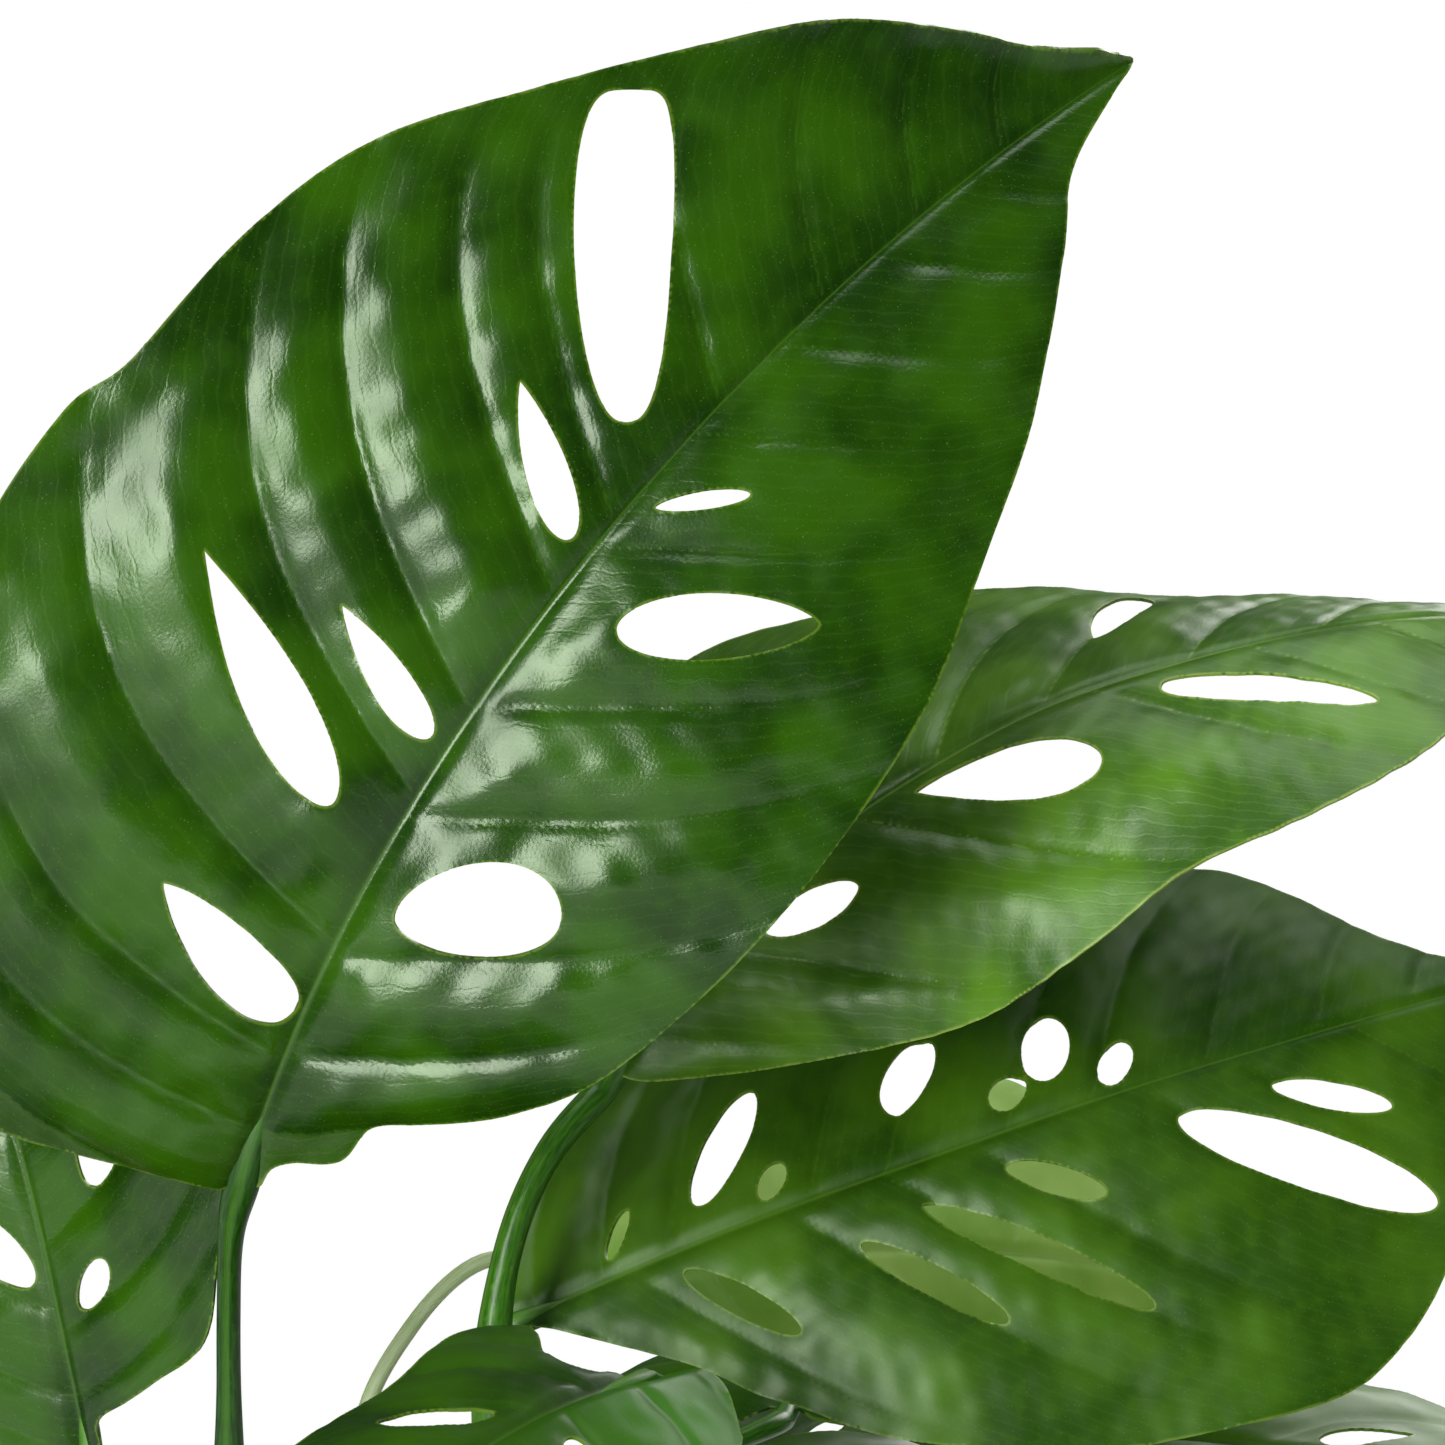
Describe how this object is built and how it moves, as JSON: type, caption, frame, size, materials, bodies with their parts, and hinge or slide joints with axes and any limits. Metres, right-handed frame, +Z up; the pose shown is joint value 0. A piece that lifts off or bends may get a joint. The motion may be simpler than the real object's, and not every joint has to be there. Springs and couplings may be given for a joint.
{
  "type": "potted monstera plant",
  "caption": "Swiss cheese vine with glossy perforated leaves on long stalks and climbing stems, rooted in soil in a plain tapered clay pot.",
  "frame": {"origin": "centre of the pot's flat underside, which is the face that it stands on", "axes": "+Z up; -Y is the plant's front, where the tallest leaf faces; +X to the right seen from the front"},
  "size_m": [0.3642, 0.3105, 0.3867],
  "materials": {
    "terracotta": "matte",
    "potting_soil": "matte",
    "stem": "satin",
    "stalk": "satin",
    "leaf": "gloss"
  },
  "bodies": {
    "root": {"pot": "terracotta", "soil": "potting_soil", "stem_left": "stem", "stem_right": "stem", "stem_back": "stem", "leaf_tall": "leaf", "stalk_tall": "stalk", "leaf_upper_right": "leaf", "stalk_upper_right": "stalk", "leaf_lower_right": "leaf", "stalk_lower_right": "stalk", "leaf_lower_left": "leaf", "stalk_lower_left": "stalk", "leaf_front": "leaf", "stalk_front": "stalk", "leaf_behind_right": "leaf", "stalk_behind_right": "stalk", "leaf_far_right": "leaf", "stalk_far_right": "stalk", "leaf_front_right": "leaf", "stalk_front_right": "stalk", "leaf_far_left": "leaf", "stalk_far_left": "stalk", "leaf_front_left": "leaf", "stalk_front_left": "stalk", "leaf_back_left": "leaf", "stalk_back_left": "stalk", "leaf_back": "leaf", "stalk_back": "stalk", "leaf_back_right": "leaf", "stalk_back_right": "stalk", "leaf_low_back": "leaf", "stalk_low_back": "stalk"}
  },
  "joints": []
}
